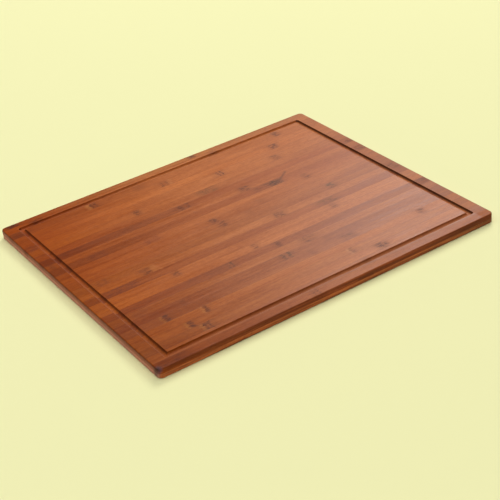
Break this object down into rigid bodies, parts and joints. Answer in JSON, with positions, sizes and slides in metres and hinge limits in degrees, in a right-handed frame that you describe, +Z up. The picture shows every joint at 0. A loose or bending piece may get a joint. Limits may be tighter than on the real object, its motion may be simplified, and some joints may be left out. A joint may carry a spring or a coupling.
{
  "type": "cutting board",
  "caption": "Rectangular laminated bamboo cutting board with rounded corners and edges and a juice groove routed around its cutting face.",
  "frame": {"origin": "centre of the underside, midway along the length and the width", "axes": "+X along the strips (the long side), +Y towards the back long edge, +Z up out of the cutting face"},
  "size_m": [0.6, 0.5, 0.016],
  "materials": {
    "bamboo_amber": "satin varnish, light amber strip",
    "bamboo_chestnut": "satin varnish, red-brown strip",
    "bamboo_umber": "satin varnish, dark carbonised strip"
  },
  "bodies": {
    "root": {"top_strip_01": "bamboo_chestnut", "top_strip_02": "bamboo_chestnut", "top_strip_03": "bamboo_chestnut", "top_strip_04": "bamboo_chestnut", "top_strip_05": "bamboo_chestnut", "top_strip_06": "bamboo_amber", "top_strip_07": "bamboo_amber", "top_strip_08": "bamboo_chestnut", "top_strip_09": "bamboo_umber", "top_strip_10": "bamboo_chestnut", "top_strip_11": "bamboo_umber", "top_strip_12": "bamboo_chestnut", "top_strip_13": "bamboo_chestnut", "top_strip_14": "bamboo_chestnut", "top_strip_15": "bamboo_chestnut", "top_strip_16": "bamboo_amber", "top_strip_17": "bamboo_umber", "top_strip_18": "bamboo_amber", "top_strip_19": "bamboo_amber", "top_strip_20": "bamboo_umber", "top_strip_21": "bamboo_amber", "top_strip_22": "bamboo_umber", "top_strip_23": "bamboo_chestnut", "top_strip_24": "bamboo_amber", "top_strip_25": "bamboo_amber", "top_strip_26": "bamboo_amber", "top_strip_27": "bamboo_chestnut", "top_strip_28": "bamboo_umber", "bottom_strip_01": "bamboo_chestnut", "bottom_strip_02": "bamboo_amber", "bottom_strip_03": "bamboo_chestnut", "bottom_strip_04": "bamboo_umber", "bottom_strip_05": "bamboo_amber", "bottom_strip_06": "bamboo_chestnut", "bottom_strip_07": "bamboo_chestnut", "bottom_strip_08": "bamboo_umber", "bottom_strip_09": "bamboo_amber", "bottom_strip_10": "bamboo_amber", "bottom_strip_11": "bamboo_chestnut", "bottom_strip_12": "bamboo_chestnut", "bottom_strip_13": "bamboo_umber", "bottom_strip_14": "bamboo_amber", "bottom_strip_15": "bamboo_chestnut", "bottom_strip_16": "bamboo_chestnut", "bottom_strip_17": "bamboo_chestnut", "bottom_strip_18": "bamboo_amber", "bottom_strip_19": "bamboo_umber", "bottom_strip_20": "bamboo_chestnut", "bottom_strip_21": "bamboo_amber", "bottom_strip_22": "bamboo_chestnut", "bottom_strip_23": "bamboo_umber", "bottom_strip_24": "bamboo_chestnut", "bottom_strip_25": "bamboo_amber", "bottom_strip_26": "bamboo_chestnut", "bottom_strip_27": "bamboo_chestnut", "bottom_strip_28": "bamboo_amber"}
  },
  "joints": []
}
